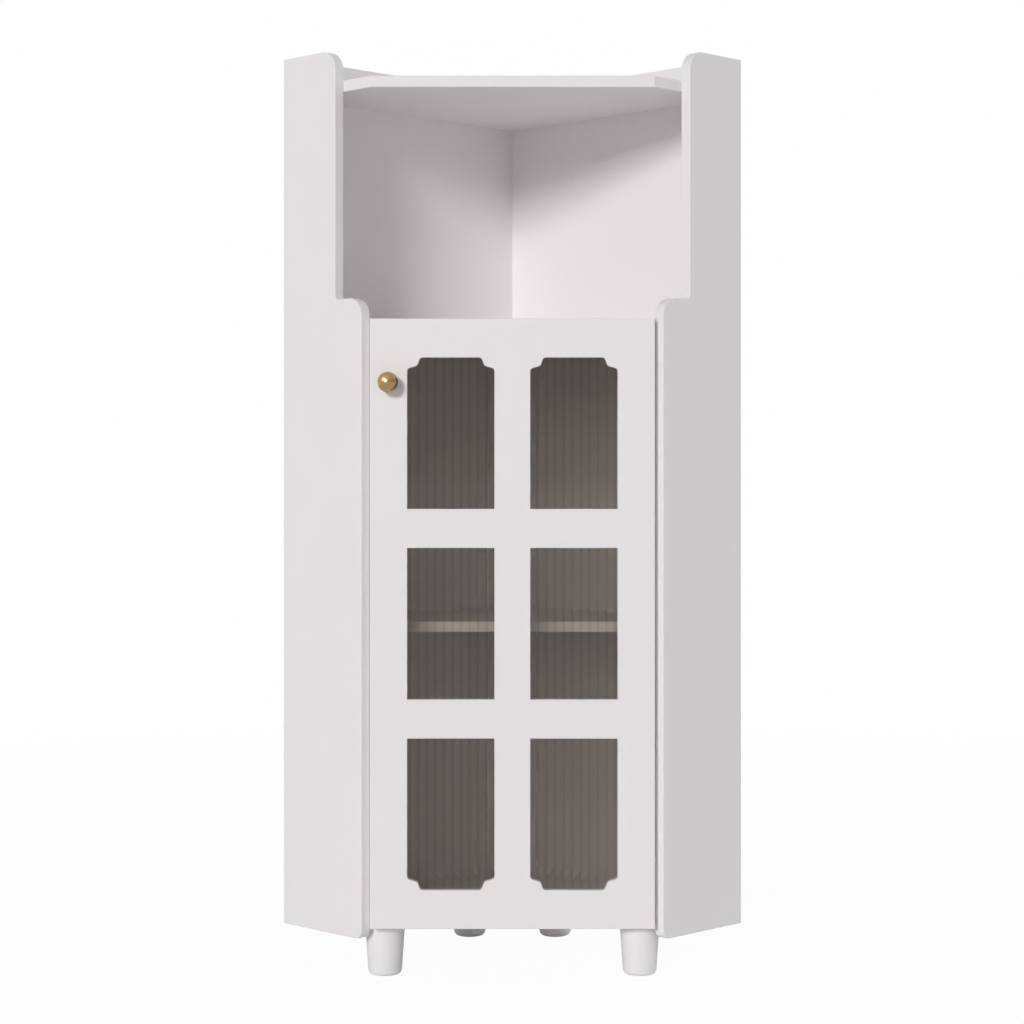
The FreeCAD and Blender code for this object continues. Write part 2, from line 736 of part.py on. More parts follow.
def window_loop(side, row):
    """One of the six lights; the top lights have scalloped upper corners, the bottom ones lower corners."""
    left, right = window_sides(side)
    low = f"rail + {row} * (window_height + rail)"
    high = f"{low} + window_height"
    if row == 0:
        return scallop(right, low, -1, 1) + [(right, high), (left, high)] + scallop(left, low, 1, 1)[::-1]
    if row == 2:
        return [(left, low), (right, low)] + scallop(right, high, -1, -1)[::-1] + scallop(left, high, 1, -1)
    return [(left, low), (right, low), (right, high), (left, high)]


def scallops():
    """All eight scallops of the door."""
    found = []
    for side in (-1, 1):
        left, right = window_sides(side)
        for level, up in (("rail", 1), ("door_height - rail", -1)):
            found.append(scallop(left, level, 1, up))
            found.append(scallop(right, level, -1, up))
    return found


def runs_through(box, points):
    """Whether an edge runs through the door's thickness at one of some points."""
    level = flat(box.XMin, box.XMax) and flat(box.ZMin, box.ZMax)
    return level and any(near(box.XMin, x) and near(box.ZMin, z) for x, z in points)


HINGES = {"lower": "hinge_end", "upper": "door_height - hinge_end"}
CUP_SCREWS = [("cup_x", f"{level} + {end} * cup_screws / 2") for level in HINGES.values() for end in (-1, 1)]
KNOB = ("knob_x", "door_height - knob_drop")


def clip_places():
    """Each glass clip's point on the edge of the rebate, and the turn that points it at the glass."""
    places = []
    for step in (-1, 0, 1):
        level = f"door_height / 2 + {step} * clip_spread"
        places.append(("-glass_half", level, 0))
        places.append(("glass_half", level, 180))
    places.append(("0", "glass_foot", -90))
    places.append(("0", "door_height - glass_foot", 90))
    return places


def make_door_frame():
    """One board with six lights cut through it, rebated behind for the glass and bored for the hinge cups."""
    body = new_body("door_frame")
    half = "door_width / 2"
    plate = [(f"-{half}", "0"), (half, "0"), (half, "door_height"), (f"-{half}", "door_height")]
    pad(body, outline(body, "XZ_Plane", "door_plate", plate), "board")
    loops = [window_loop(side, row) for side in (-1, 1) for row in range(3)]
    pocket(body, outline(body, "XZ_Plane", "door_lights", *loops), "board", back=True)
    horns = [corner[foot] for corner in scallops() for foot in (0, 2)]
    hollows = [corner[1] for corner in scallops()]
    eased(body, "horn_round", lambda box: runs_through(box, horns))
    eased(body, "scallop_round", lambda box: runs_through(box, hollows))
    eased(body, "door_round", lambda box: flat(box.YMin, box.YMax) and (
        near(abs(box.XMin), half) and near(abs(box.XMax), half)
        or near(box.ZMin, "0") and flat(box.ZMin, box.ZMax)
        or near(box.ZMin, "door_height") and flat(box.ZMin, box.ZMax)))
    inside = value("door_width / 2 - stile / 2")
    eased(body, "window_ease", lambda box: near(box.YMin, "-board") and flat(box.YMin, box.YMax)
          and max(abs(box.XMin), abs(box.XMax)) < inside, "Chamfer")
    wide = "glass_half"
    rebate = [(f"-{wide}", "glass_foot"), (wide, "glass_foot")]
    rebate += [(wide, "door_height - glass_foot"), (f"-{wide}", "door_height - glass_foot")]
    pocket(body, outline(body, "XZ_Plane", "door_rebate", rebate), "rebate_depth", back=True)
    cups = [("cup_x", level) for level in HINGES.values()]
    bores = circles(body, "XZ_Plane", "door_cups", "cup_size + 2 * fit", cups)
    pocket(body, bores, "cup_depth + fit", back=True)
    drill = circles(body, "XZ_Plane", "door_pilots", "screw_size + 2 * fit", CUP_SCREWS)
    pocket(body, drill, "screw_length + fit", back=True)
    hole = circles(body, "XZ_Plane", "door_knob_hole", "knob_thread + 2 * fit", [KNOB])
    pocket(body, hole, "board", back=True)
    node("door_frame", place(body, "0", "door_back", "door_bottom"))


def make_glass():
    """One sheet of fluted glass behind all six lights, flat at the back, with round ribs in front."""
    body = new_body("fluted_glass")
    half = "(glass_half - glass_play)"
    ribs = round(2 * value(half) / value("rib_pitch")) - 2
    crest = "-glass_seat - glass_thickness"
    valley = f"{crest} + rib_depth"
    edge = f"{ribs} * rib_pitch / 2"
    plan = [(half, "-glass_seat"), (f"-{half}", "-glass_seat"), (f"-{half}", valley)]
    plan += [(f"{rib} * rib_pitch - {edge}", valley, "rib_radius", "out") for rib in range(ribs)]
    plan += [(edge, valley), (half, valley)]
    tall = "door_height - 2 * glass_foot - 2 * glass_play"
    pad(body, outline(body, "XY_Plane", "glass_plan", plan), tall)
    node("fluted_glass", place(body, "0", "door_back", "door_bottom + glass_foot + glass_play"))


def make_glass_clips():
    """Flat clips on the back of the frame, each with its tongue over the edge of the glass."""
    body = new_body("glass_clip")
    tail = "(clip_width - clip_bite)"
    side = "clip_length / 2"
    plan = [(f"-{tail}", f"-{side}"), ("clip_bite", f"-{side}"), ("clip_bite", side), (f"-{tail}", side)]
    pad(body, outline(body, "XZ_Plane", "clip_plan", plan), "clip_thickness", back=True)
    eased(body, "clip_bite / 2", lambda box: flat(box.XMin, box.XMax) and flat(box.ZMin, box.ZMax), "Chamfer")
    clips = []
    for x, level, angle in clip_places():
        clips.append(copy_of(body, x, "door_back", f"door_bottom + {level}", Rotation(Y_AXIS, angle)))
    group("glass_clips", clips)


def make_knob():
    """A ball on a waisted neck, and the screw that holds it from behind the door."""
    ball = "knob_size / 2"
    centre = f"(knob_length - {ball})"
    meet = f"{centre} - sqrt({ball} * {ball} - knob_neck * knob_neck / 4)"
    hole = "knob_thread / 2 + fit"
    knob = turned(
        "knob",
        (hole, "0"),
        ("knob_foot / 2", "0"),
        ("knob_foot / 2", "knob_foot_height / 2"),
        ("knob_neck / 2", "knob_foot_height"),
        ("knob_neck / 2", meet, ball, "out"),
        (ball, centre, ball, "out"),
        ("0", "knob_length"),
        ("0", "knob_thread_hold + fit"),
        (hole, "knob_thread_hold + fit"),
    )
    level = f"door_bottom + {KNOB[1]}"
    node("knob", place(knob, KNOB[0], "door_front", level, TO_FRONT))
    screw = turned(
        "knob_screw",
        ("0", "-screw_head_height"),
        ("knob_thread / 2", "-screw_head_height"),
        ("knob_thread", "-screw_head_height / 2"),
        ("knob_thread", "0"),
        ("knob_thread / 2", "0"),
        ("knob_thread / 2", "board + knob_thread_hold"),
        ("0", "board + knob_thread_hold"),
    )
    node("knob_screw", place(screw, KNOB[0], "door_back", level, TO_FRONT))


# Hinges: a cup in the door, a pin across the cup, and an arm on the side panel


plate_fixings = []


def make_hinge_cup(name, level):
    """A drawn cup with a two-lobed flange, bored through its wall for the pin."""
    cup = new_body(name)
    lobe = "flange_width / 2"
    tall = "(cup_screws / 2 + flange_margin)"
    lobes = [(f"-{lobe}", f"-{tall}"), (lobe, f"-{tall}"), (lobe, tall), (f"-{lobe}", tall)]
    pad(cup, outline(cup, "XZ_Plane", name + "_lobes", lobes), "cup_wall", back=True)
    eased(cup, "screw_head / 2", lambda box: flat(box.XMin, box.XMax) and flat(box.ZMin, box.ZMax))
    rim = circles(cup, "XZ_Plane", name + "_rim", "cup_size + 2 * cup_rim", [("0", "0")])
    pad(cup, rim, "cup_wall", back=True)
    pad(cup, circles(cup, "XZ_Plane", name + "_bowl", "cup_size", [("0", "0")]), "cup_depth")
    mouth = circles(cup, "XZ_Plane", name + "_mouth", "cup_size - 2 * cup_wall", [("0", "0")])
    pocket(cup, mouth, "cup_wall")
    hollow = circles(cup, "XZ_Plane", name + "_hollow", "cup_size - 2 * cup_wall", [("0", "0")])
    pocket(cup, hollow, "cup_depth - cup_wall", back=True)
    spots = [("0", "cup_screws / 2"), ("0", "-cup_screws / 2")]
    pocket(cup, circles(cup, "XZ_Plane", name + "_holes", "screw_size + 2 * fit", spots), "cup_wall")
    place(cup, "cup_x", "door_back", f"door_bottom + {level}")
    bore = rod(name + "_pin_bore", "hinge_pin / 2 + fit", "-cup_size", "cup_size")
    return drilled(name, cup, [copy_of(bore, "pin_x", "pin_y", f"door_bottom + {level}")])


def make_hinge_arm(name, level):
    """A cranked arm: an eye on the pin, two bends out of the cup, and a wide end on the plate."""
    arm = new_body(name)
    half = "arm_thickness / 2"
    skew = f"{half} * (sqrt(2) - 1)"
    far = "arm_length / sqrt(2)"
    lean = f"{half} / sqrt(2)"
    crank = [
        ("0", f"-{half}"),
        ("0", half),
        (f"{half} - arm_reach", half),
        (f"{half} - arm_reach", f"arm_rise - {skew}"),
        (f"{far} - arm_reach + {lean}", f"arm_rise + {far} - {lean}"),
        (f"{far} - arm_reach - {lean}", f"arm_rise + {far} + {lean}"),
        (f"-arm_reach - {half}", f"arm_rise + {skew}"),
        (f"-arm_reach - {half}", f"-{half}"),
    ]
    pad(arm, outline(arm, "XY_Plane", name + "_crank", crank), "arm_width")
    pad(arm, circles(arm, "XY_Plane", name + "_eye", "eye_size", [("0", "0")]), "arm_width")
    bore = circles(arm, "XY_Plane", name + "_bore", "hinge_pin + 2 * running", [("0", "0")])
    pocket(arm, bore, "arm_width", back=True)
    place(arm, "pin_x", "pin_y", f"door_bottom + {level} - arm_width / 2")
    face = FACES["right_side"]
    tail = doc.addObject("Part::Box", name + "_tail")
    bind(tail, Length="arm_thickness", Width="arm_tail", Height="tail_width")
    x, y = face.at("arm_start + arm_length", "arm_stand")
    place(tail, x, y, f"door_bottom + {level} - tail_width / 2", face.turn)
    whole = doc.addObject("Part::Fuse", name)
    whole.Base = arm
    whole.Tool = tail
    return node(name, whole)


def make_hinge_plate(name, level):
    """A plate on the side panel with a raised block that carries the arm."""
    plate = new_body(name)
    near_end = "-plate_margin"
    far_end = "-plate_margin - plate_length"
    wing = "plate_height / 2"
    wings = [(far_end, f"-{wing}"), (near_end, f"-{wing}"), (near_end, wing), (far_end, wing)]
    pad(plate, outline(plate, "YZ_Plane", name + "_wings", wings), "plate_thickness")
    eased(plate, "screw_head / 2", lambda box: flat(box.YMin, box.YMax) and flat(box.ZMin, box.ZMax))
    ridge = "tail_width / 2"
    tail_end = "-arm_start - arm_length"
    block = [(tail_end, f"-{ridge}"), (f"{tail_end} + arm_tail", f"-{ridge}")]
    block += [(f"{tail_end} + arm_tail", ridge), (tail_end, ridge)]
    pad(plate, outline(plate, "YZ_Plane", name + "_block", block), "arm_stand")
    face = FACES["right_side"]
    x, y = face.at("0")
    place(plate, x, y, f"door_bottom + {level}", face.turn)
    drills = []
    for end in (-1, 1):
        x, y = face.at("plate_margin + plate_length / 2", "plate_thickness")
        spot = (x, y, f"door_bottom + {level} + {end} * plate_screws / 2")
        drills.append(copy_of(SCREW_DRILL, *spot, face.turn * Rotation(Y_AXIS, -90)))
        holes["right_side"].append(drills[-1])
        plate_fixings.append(copy_of(SCREW, *spot, face.turn * Rotation(Y_AXIS, -90)))
    return drilled(name, plate, drills)


def make_hinges():
    for end, level in HINGES.items():
        make_hinge_cup(f"{end}_hinge_cup", level)
        make_hinge_arm(f"{end}_hinge_arm", level)
        make_hinge_plate(f"{end}_hinge_plate", level)
        pin = doc.addObject("Part::Cylinder", f"{end}_hinge_pin")
        bind(pin, Radius="hinge_pin / 2", Height="pin_length")
        place(pin, "pin_x", "pin_y", f"door_bottom + {level} - pin_length / 2")
        node(f"{end}_hinge_pin", pin)
    group("hinge_plate_screws", plate_fixings)
    screws = []
    for x, level in CUP_SCREWS:
        screws.append(copy_of(SCREW, x, "door_back + cup_wall", f"door_bottom + {level}", TO_FRONT))
    group("hinge_cup_screws", screws)


# Magnet catch under the middle board, its strike plate on the door, and the door's bumpers


def make_catch():
    ceiling = "middle_middle - board / 2"
    body = new_body("magnet_catch_body")
    block = "catch_block / 2"
    ear = "catch_length / 2"
    profile = [
        (f"-{ear}", "-catch_ear"),
        (f"-{block}", "-catch_ear"),
        (f"-{block}", "-catch_height"),
        (block, "-catch_height"),
        (block, "-catch_ear"),
        (ear, "-catch_ear"),
        (ear, "0"),
        (f"-{ear}", "0"),
    ]
    pad(body, outline(body, "XZ_Plane", "catch_profile", profile), "catch_depth", back=True)
    seat = "(magnet_length / 2 + fit)"
    middle = "(catch_height + catch_ear) / 2"
    tall = "(magnet_height / 2 + fit)"
    slot = [(f"-{seat}", f"-{middle} - {tall}"), (seat, f"-{middle} - {tall}")]
    slot += [(seat, f"-{middle} + {tall}"), (f"-{seat}", f"-{middle} + {tall}")]
    pocket(body, outline(body, "XZ_Plane", "catch_slot", slot), "magnet_depth + fit")
    node("magnet_catch_body", place(body, "catch_x", "catch_front", ceiling))
    magnet = doc.addObject("Part::Box", "catch_magnet")
    bind(magnet, Length="magnet_length", Width="magnet_depth", Height="magnet_height")
    place(magnet, "catch_x - magnet_length / 2", "catch_front", f"{ceiling} - {middle} - magnet_height / 2")
    node("catch_magnet", magnet)


def make_strike():
    strike = doc.addObject("Part::Box", "strike_plate")
    bind(strike, Length="catch_block", Width="strike_thickness", Height="catch_height")
    low = "middle_middle - board / 2 - catch_height"
    node("strike_plate", place(strike, "catch_x - catch_block / 2", "door_back", low))


def make_bumpers():
    """Soft dots on the front edges of the middle and bottom boards, where the door's free side closes."""
    dot = rod("bumper", "bumper_size / 2", "0", "board_setback - close_gap")
    x = "bumper_inset - half_front"
    levels = ("middle_middle", "bottom_middle")
    group("door_bumpers", [copy_of(dot, x, "board_front", level, TO_FRONT) for level in levels])


# The whole cabinet


def write_parts():
    """Check every object, then write each sub-part to a file of its own."""
    doc.recompute()
    for item in doc.Objects:
        if "Invalid" in item.State or "Error" in item.State:
            raise RuntimeError(f"{item.Label} failed: {item.State}")
    for name, item in nodes.items():
        shape = Part.getShape(item)
        if shape.isNull() or not shape.isValid() or not shape.Solids:
            raise RuntimeError(f"{name} has no sound solid")
    os.makedirs("parts", exist_ok=True)
    for name, item in nodes.items():
        Part.getShape(item).exportStep(f"parts/{name}.step")


make_fixed_boards()
make_shelf()
make_legs()
make_door_frame()
make_glass()
make_glass_clips()
make_knob()
make_hinges()
make_panels()
make_catch()
make_strike()
make_bumpers()
group("cam_locks", cams)
group("cam_bolts", bolts)
group("wood_dowels", dowels)
write_parts()
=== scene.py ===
"""Looks of the glass door corner cabinet: finishes, fluted glass, small fixings, studio and camera."""

import bpy
import bmesh
import json
import math
from mathutils import Matrix, Vector


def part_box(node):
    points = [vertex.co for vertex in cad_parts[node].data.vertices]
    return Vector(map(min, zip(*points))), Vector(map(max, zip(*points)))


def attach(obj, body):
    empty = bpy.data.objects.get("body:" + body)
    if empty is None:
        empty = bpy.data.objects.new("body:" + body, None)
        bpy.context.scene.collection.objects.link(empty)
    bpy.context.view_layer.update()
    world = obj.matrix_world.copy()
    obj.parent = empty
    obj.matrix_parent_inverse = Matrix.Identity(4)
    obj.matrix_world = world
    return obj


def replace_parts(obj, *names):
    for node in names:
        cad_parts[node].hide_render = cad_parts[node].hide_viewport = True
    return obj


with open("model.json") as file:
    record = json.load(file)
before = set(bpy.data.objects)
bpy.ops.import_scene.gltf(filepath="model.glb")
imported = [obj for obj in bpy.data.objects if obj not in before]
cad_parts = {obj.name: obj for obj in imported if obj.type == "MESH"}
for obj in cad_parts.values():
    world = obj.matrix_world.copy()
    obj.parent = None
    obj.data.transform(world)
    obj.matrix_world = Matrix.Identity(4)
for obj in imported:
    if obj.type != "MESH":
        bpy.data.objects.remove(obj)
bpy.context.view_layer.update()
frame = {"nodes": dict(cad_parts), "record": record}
nodes = frame["nodes"]
record = frame["record"]
scene = bpy.context.scene

SLOT_OF = {part["node"]: part["material_slot"] for part in record["subparts"]}
BODY_OF = {node: body for body, names in record["behaviour"]["bodies"].items() for node in names}

# Lengths are in metres
MM = 0.001

# Ways: up, to the back, and out of the right and the left back panel
UP = Vector((0, 0, 1))
TO_BACK = Vector((0, 1, 0))
OUT_RIGHT = Vector((1, 1, 0)).normalized()
OUT_LEFT = Vector((-1, 1, 0)).normalized()


# Node helpers


class NodeTree:
    """A node tree with one output, and short ways to add nodes to it."""

    def __init__(self, tree, output):
        self.tree = tree
        self.output = tree.nodes[output]

    def give(self, socket, source):
        """Set an input to a number or colour, or link it to another node's output."""
        if isinstance(source, bpy.types.NodeSocket):
            self.tree.links.new(source, socket)
        else:
            socket.default_value = source

    def add(self, kind, inputs=None, **settings):
        """A new node, with its inputs by name or number."""
        item = self.tree.nodes.new("ShaderNode" + kind)
        for name, setting in settings.items():
            setattr(item, name, setting)
        for name, source in (inputs or {}).items():
            self.give(item.inputs[name], source)
        return item

    def maths(self, operation, *numbers):
        """What one operation makes of numbers or other nodes' outputs."""
        return self.add("Math", dict(enumerate(numbers)), operation=operation).outputs[0]

    def spread(self, number, low, high, span=(0, 1), **settings):
        """A number that runs from low to high as another runs over a span."""
        ends = {"Value": number, "From Min": span[0], "From Max": span[1], "To Min": low, "To Max": high}
        return self.add("MapRange", ends, **settings).outputs["Result"]

    def show(self, factor, first, second):
        """Link the output to the first shader where a factor is 0, and to the second where it is 1."""
        mix = self.add("MixShader", {"Fac": factor, 1: first.outputs[0], 2: second.outputs[0]})
        self.give(self.output.inputs["Surface"], mix.outputs[0])


class Paint(NodeTree):
    """A new material with a Principled shader."""

    def __init__(self, name):
        self.material = bpy.data.materials.new(name)
        self.material.use_nodes = True
        super().__init__(self.material.node_tree, "Material Output")
        self.shader = self.tree.nodes["Principled BSDF"]

    def set(self, **inputs):
        """Set or link inputs of the shader, with _ for the spaces in their names."""
        for name, source in inputs.items():
            self.give(self.shader.inputs[name.replace("_", " ")], source)

    def noise(self, scale, detail, stretch=(1, 1, 1)):
        """A cloudy factor in the cabinet's own space, finer along an axis that is stretched."""
        position = self.add("TexCoord").outputs["Object"]
        place = self.add("Mapping", {"Vector": position, "Scale": stretch}).outputs["Vector"]
        return self.add("TexNoise", {"Vector": place, "Scale": scale, "Detail": detail}).outputs["Fac"]

    def tint(self, factor, first, second):
        """A colour that runs from the first to the second as a factor runs from 0 to 1."""
        mix = self.add("Mix", {"Factor": factor}, data_type="RGBA")
        colours = [socket for socket in mix.inputs if socket.type == "RGBA"]
        self.give(colours[0], first)
        self.give(colours[1], second)
        return next(socket for socket in mix.outputs if socket.type == "RGBA")

    def bump(self, height, strength, distance):
        """A surface that looks uneven by a factor of height."""
        sizes = {"Height": height, "Strength": strength, "Distance": distance}
        return self.add("Bump", sizes).outputs["Normal"]


# Materials

# The ribs of the glass, and the stretch from crest to valley, in pitches, over which painted shade turns
# the glass greyer
RIB_PITCH = 11 * MM
RIB_DEPTH = 0.9 * MM
RIB_STEPS = 14
VALLEY_SHADE_SPAN = (0.2, 0.5)

# How dark the grain of metal and the mottle of plastic are beside their colour
GRAIN_SHADE = 0.86
MOTTLE_SHADE = 0.95


def white_lacquer():
    """Satin lacquer: a faint mottle, a fine sprayed skin and a slow change of gloss."""
    paint = Paint("white_lacquer")
    dark = (0.905, 0.889, 0.894, 1)
    light = (0.935, 0.919, 0.924, 1)
    paint.set(Base_Color=paint.tint(paint.noise(scale=9, detail=3), dark, light))
    paint.set(Roughness=paint.spread(paint.noise(scale=35, detail=3), low=0.38, high=0.48))
    paint.set(Normal=paint.bump(paint.noise(scale=700, detail=1), strength=0.12, distance=0.2 * MM))
    paint.set(IOR=1.46)
    return paint.material


def fluted_glass():
    """Faintly smoky glass, with painted shade that greys the valleys between its ribs, that lets some of
    the key through.
    """
    paint = Paint("fluted_glass")
    low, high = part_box("fluted_glass")
    middle = (low.x + high.x) / 2
    position = paint.add("TexCoord").outputs["Object"]
    across = paint.add("SeparateXYZ", {"Vector": position}).outputs["X"]
    ribs = paint.spread(across, 0, 1, span=(middle, middle + RIB_PITCH), clamp=False)
    from_crest = paint.maths("ABSOLUTE", paint.maths("SUBTRACT", paint.maths("FRACT", ribs), 0.5))
    # Painted shade: the tint turns greyer from each rib's crest towards its valley, where the ribs turn
    # light away
    valley = paint.spread(from_crest, 0, 1, span=VALLEY_SHADE_SPAN, interpolation_type="SMOOTHSTEP")
    smoke = (0.738, 0.686, 0.63, 1)
    painted_valley_shade = (0.641, 0.606, 0.56, 1)
    paint.set(Base_Color=paint.tint(valley, smoke, painted_valley_shade))
    paint.set(Roughness=0.03, IOR=1.5, Transmission_Weight=1.0)
    let_through = (0.09, 0.086, 0.081, 1)
    clear = paint.add("BsdfTransparent", {"Color": let_through})
    paint.show(paint.add("LightPath").outputs["Is Shadow Ray"], paint.shader, clear)
    return paint.material


def brass():
    """Polished brass with fine lathe marks, a slight change of tone, and a rim darkened by painted shade.
    """
    paint = Paint("brass")
    dark = (0.62, 0.436, 0.2, 1)
    light = (0.69, 0.486, 0.23, 1)
    paint.set(Base_Color=paint.tint(paint.noise(scale=120, detail=3), dark, light), Metallic=1.0)
    # Painted shade: the dark edge tint darkens the knob's rim, standing in for darker surroundings mirrored
    # there
    paint.set(Specular_Tint=(0.45, 0.38, 0.25, 1))
    marks = paint.noise(scale=900, detail=2, stretch=(1, 6, 1))
    paint.set(Roughness=paint.spread(marks, low=0.2, high=0.28))
    return paint.material


def shaded(colour, share):
    """A share of a colour's brightness, with full alpha."""
    return tuple(share * part for part in colour) + (1,)


def metal(name, colour, smooth, rough):
    """Plated steel with a fine grain."""
    paint = Paint(name)
    grain = paint.noise(scale=900, detail=2, stretch=(1, 1, 5))
    tone = paint.tint(grain, shaded(colour, GRAIN_SHADE), shaded(colour, 1))
    paint.set(Base_Color=tone, Metallic=1.0)
    paint.set(Roughness=paint.spread(paint.noise(scale=220, detail=3), low=smooth, high=rough))
    return paint.material


def plastic(name, colour, roughness):
    """A moulded surface with a faint mottle and a fine spark-eroded skin."""
    paint = Paint(name)
    mottle = paint.tint(paint.noise(scale=60, detail=2), shaded(colour, MOTTLE_SHADE), shaded(colour, 1))
    paint.set(Base_Color=mottle, Roughness=roughness)
    paint.set(Normal=paint.bump(paint.noise(scale=1500, detail=2), strength=0.15, distance=0.1 * MM))
    return paint.material


def beech():
    """Bare wood with a fine grain."""
    paint = Paint("beech")
    dark = (0.50, 0.34, 0.20, 1)
    light = (0.68, 0.52, 0.35, 1)
    grain = paint.noise(scale=60, detail=4, stretch=(1, 1, 8))
    paint.set(Base_Color=paint.tint(grain, dark, light), Roughness=0.6)
    return paint.material


MATERIALS = {
    "white_lacquer": white_lacquer(),
    "fluted_glass": fluted_glass(),
    "brass": brass(),
    "nickel_steel": metal("nickel_steel", (0.66, 0.65, 0.62), smooth=0.22, rough=0.34),
    "zinc_metal": metal("zinc_metal", (0.60, 0.61, 0.62), smooth=0.3, rough=0.45),
    "beech": beech(),
    "white_plastic": plastic("white_plastic", (0.80, 0.80, 0.78), roughness=0.4),
    "magnet": plastic("magnet", (0.09, 0.09, 0.1), roughness=0.6),
    "clear_rubber": plastic("clear_rubber", (0.72, 0.72, 0.70), roughness=0.35),
}


def dress_nodes():
    """Give every CAD node the finish of its slot."""
    for node, slot in SLOT_OF.items():
        mesh = nodes[node].data
        for number in range(len(mesh.materials)):
            mesh.materials[number] = MATERIALS[slot]


# Meshes and pieces

# Points nearer than this are joined, faces that bend less are one, and edges that bend more are sharp
WELD = 0.001 * MM
FLAT = math.radians(1)
CREASE = math.radians(30)

# Steps round a turned shape and across a bevel, the bevel's round section, and how much narrower
# a cross recess is at its floor
LATHE_STEPS = 40
BEVEL_STEPS = 2
ROUND_BEVEL = 0.5
CROSS_TAPER = 0.25


def to_mesh(work, name):
    """A finished mesh, with its faces looking outwards."""
    bmesh.ops.recalc_face_normals(work, faces=work.faces)
    mesh = bpy.data.meshes.new(name)
    work.to_mesh(mesh)
    work.free()
    return mesh


def rounded(mesh):
    """A mesh that looks round where it bends gently."""
    mesh.shade_smooth()
    mesh.set_sharp_from_angle(angle=CREASE)
    return mesh


def welded(node):
    """A node's mesh with its split corners joined and its flat faces whole."""
    work = bmesh.new()
    work.from_mesh(nodes[node].data)
    bmesh.ops.remove_doubles(work, verts=work.verts, dist=WELD)
    bmesh.ops.dissolve_limit(work, angle_limit=FLAT, verts=work.verts, edges=work.edges)
    return work


def loose_parts(node):
    """The points of each separate solid in a node."""
    work = welded(node)
    parts = []
    seen = set()
    for first in work.verts:
        if first in seen:
            continue
        seen.add(first)
        queue = [first]
        points = []
        while queue:
            vert = queue.pop()
            points.append(vert.co.copy())
            for edge in vert.link_edges:
                other = edge.other_vert(vert)
                if other not in seen:
                    seen.add(other)
                    queue.append(other)
        parts.append(points)
    work.free()
    return parts


def box_of(points):
    """The lowest and highest corner of a set of points."""
    axes = list(zip(*points))
    return Vector([min(axis) for axis in axes]), Vector([max(axis) for axis in axes])


def seat(points, facing):
    """The frame in the middle of a part's end face, with its Z axis the way that the face looks."""
    turn = facing.to_track_quat("Z", "Y").to_matrix()
    low, high = box_of([turn.inverted() @ point for point in points])
    middle = turn @ Vector(((low.x + high.x) / 2, (low.y + high.y) / 2, high.z))
    return Matrix.Translation(middle) @ turn.to_4x4()


def loft(work, rings):
    """A closed solid through rings of as many points each."""
    loops = [[work.verts.new(point) for point in ring] for ring in rings]
    count = len(loops[0])
    for lower, upper in zip(loops, loops[1:]):
        for number in range(count):
            following = (number + 1) % count
            work.faces.new((lower[number], lower[following], upper[following], upper[number]))
    work.faces.new(list(reversed(loops[0])))
    work.faces.new(loops[-1])


def add_turned(work, place, profile):
    """A solid of revolution that stands on a seat."""
    turns = [2 * math.pi * step / LATHE_STEPS for step in range(LATHE_STEPS)]
    circle = [(math.cos(turn), math.sin(turn)) for turn in turns]
    loft(work, [[place @ Vector((radius * x, radius * y, height)) for x, y in circle]
                for radius, height in reversed(profile)])


def add_cross(work, place, cross):
    """A tapered plus sign that reaches down into a face."""
    reach, width, depth = cross
    arm = [Vector((reach / 2, -width / 2)), Vector((reach / 2, width / 2)), Vector((width / 2, width / 2))]
    outline = [Matrix.Rotation(quarter * math.pi / 2, 2) @ corner for quarter in range(4) for corner in arm]
    loft(work, [[place @ Vector((scale * x, scale * y, height)) for x, y in outline]
                for height, scale in ((-depth, 1 - CROSS_TAPER), (depth, 1 + CROSS_TAPER))])


def carved(name, work, cutter):
    """The mesh of some solids with others cut out of them."""
    solid = bpy.data.objects.new(name, to_mesh(work, name + "_blank"))
    tool = bpy.data.objects.new(name + "_tool", to_mesh(cutter, name + "_tool"))
    scene.collection.objects.link(solid)
    scene.collection.objects.link(tool)
    cut = solid.modifiers.new("cut", "BOOLEAN")
    cut.object = tool
    cut.solver = "EXACT"
    mesh = bpy.data.meshes.new_from_object(solid.evaluated_get(bpy.context.evaluated_depsgraph_get()))
    bpy.data.objects.remove(solid)
    bpy.data.objects.remove(tool)
    return mesh


def add_piece(name, mesh, slot, body):
    """A new piece with the finish of a slot, that moves with a body."""
    piece = bpy.data.objects.new(name, mesh)
    scene.collection.objects.link(piece)
    piece.data.materials.append(MATERIALS[slot])
    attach(piece, body)
    return piece


def stand_in(node, mesh):
    """A finer piece in the place of a node."""
    mesh.materials.clear()
    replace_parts(add_piece(node + "_fine", rounded(mesh), SLOT_OF[node], BODY_OF[node]), node)


def soften(node, width):
    """Round a node's sharp edges a little."""
    work = welded(node)
    sharp = [edge for edge in work.edges if edge.is_manifold and edge.calc_face_angle() > CREASE]
    bmesh.ops.bevel(work, geom=sharp, offset=width, segments=BEVEL_STEPS, profile=ROUND_BEVEL,
                    affect="EDGES", clamp_overlap=True)
    stand_in(node, to_mesh(work, node))


def cross_heads(node, facing_of, cross):
    """Cut a cross recess into each screw or cam of a node."""
    cutter = bmesh.new()
    for points in loose_parts(node):
        add_cross(cutter, seat(points, facing_of(points)), cross)
    stand_in(node, carved(node, welded(node), cutter))


def add_screws(name, places, head, cross, slot, body):
    """Screw heads on their seats, with a cross recess in each."""
    heads = bmesh.new()
    cutter = bmesh.new()
    top = head[0][1]
    for place in places:
        add_turned(heads, place, head)
        add_cross(cutter, place @ Matrix.Translation((0, 0, top)), cross)
    add_piece(name, rounded(carved(name, heads, cutter)), slot, body)


# Fluted glass


